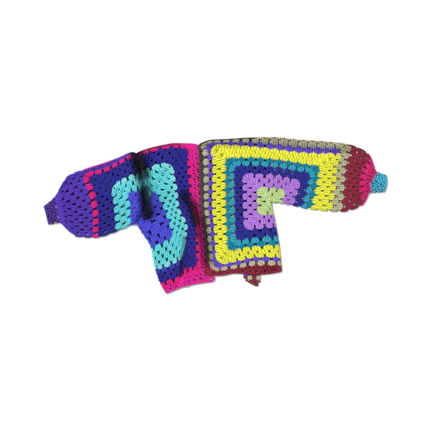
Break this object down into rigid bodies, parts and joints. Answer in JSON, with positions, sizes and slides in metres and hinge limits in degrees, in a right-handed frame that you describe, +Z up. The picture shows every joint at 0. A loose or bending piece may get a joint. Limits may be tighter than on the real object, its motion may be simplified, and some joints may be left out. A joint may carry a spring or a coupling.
{
  "type": "crochet cardigan",
  "caption": "Cropped crochet cardigan with puff sleeves and gathered cuffs, made of two folded granny motifs and laid flat, front closed.",
  "frame": {"origin": "middle of the bounding box, on the surface that the garment lies on", "axes": "+X along the sleeves towards the cuff of the yellow half, +Y from the hem to the neck, +Z up from the surface"},
  "size_m": [1.128, 0.512, 0.023],
  "materials": {
    "left_motif": "matte acrylic yarn, crocheted",
    "left_sleeve_rows": "matte acrylic yarn, crocheted",
    "left_cuff": "matte acrylic yarn, crocheted",
    "left_front_band": "matte acrylic yarn, crocheted",
    "left_back_band": "matte acrylic yarn, crocheted",
    "left_hem_border": "matte acrylic yarn, crocheted",
    "left_shoulder_seam": "matte acrylic yarn, crocheted",
    "right_motif": "matte acrylic yarn, crocheted",
    "right_sleeve_rows": "matte acrylic yarn, crocheted",
    "right_sleeve_gather": "matte acrylic yarn, crocheted",
    "right_cuff": "matte acrylic yarn, crocheted",
    "right_front_band": "matte acrylic yarn, crocheted",
    "right_back_band": "matte acrylic yarn, crocheted",
    "right_hem_border": "matte acrylic yarn, crocheted",
    "right_shoulder_seam": "matte acrylic yarn, crocheted",
    "right_back_hem_corner": "matte acrylic yarn, crocheted"
  },
  "bodies": {
    "root": {"left_motif": "left_motif", "left_sleeve_rows": "left_sleeve_rows", "left_cuff": "left_cuff", "left_front_band": "left_front_band", "left_back_band": "left_back_band", "left_hem_border": "left_hem_border", "left_shoulder_seam": "left_shoulder_seam", "right_motif": "right_motif", "right_sleeve_rows": "right_sleeve_rows", "right_sleeve_gather": "right_sleeve_gather", "right_cuff": "right_cuff", "right_front_band": "right_front_band", "right_back_band": "right_back_band", "right_hem_border": "right_hem_border", "right_shoulder_seam": "right_shoulder_seam", "right_back_hem_corner": "right_back_hem_corner"}
  },
  "joints": []
}
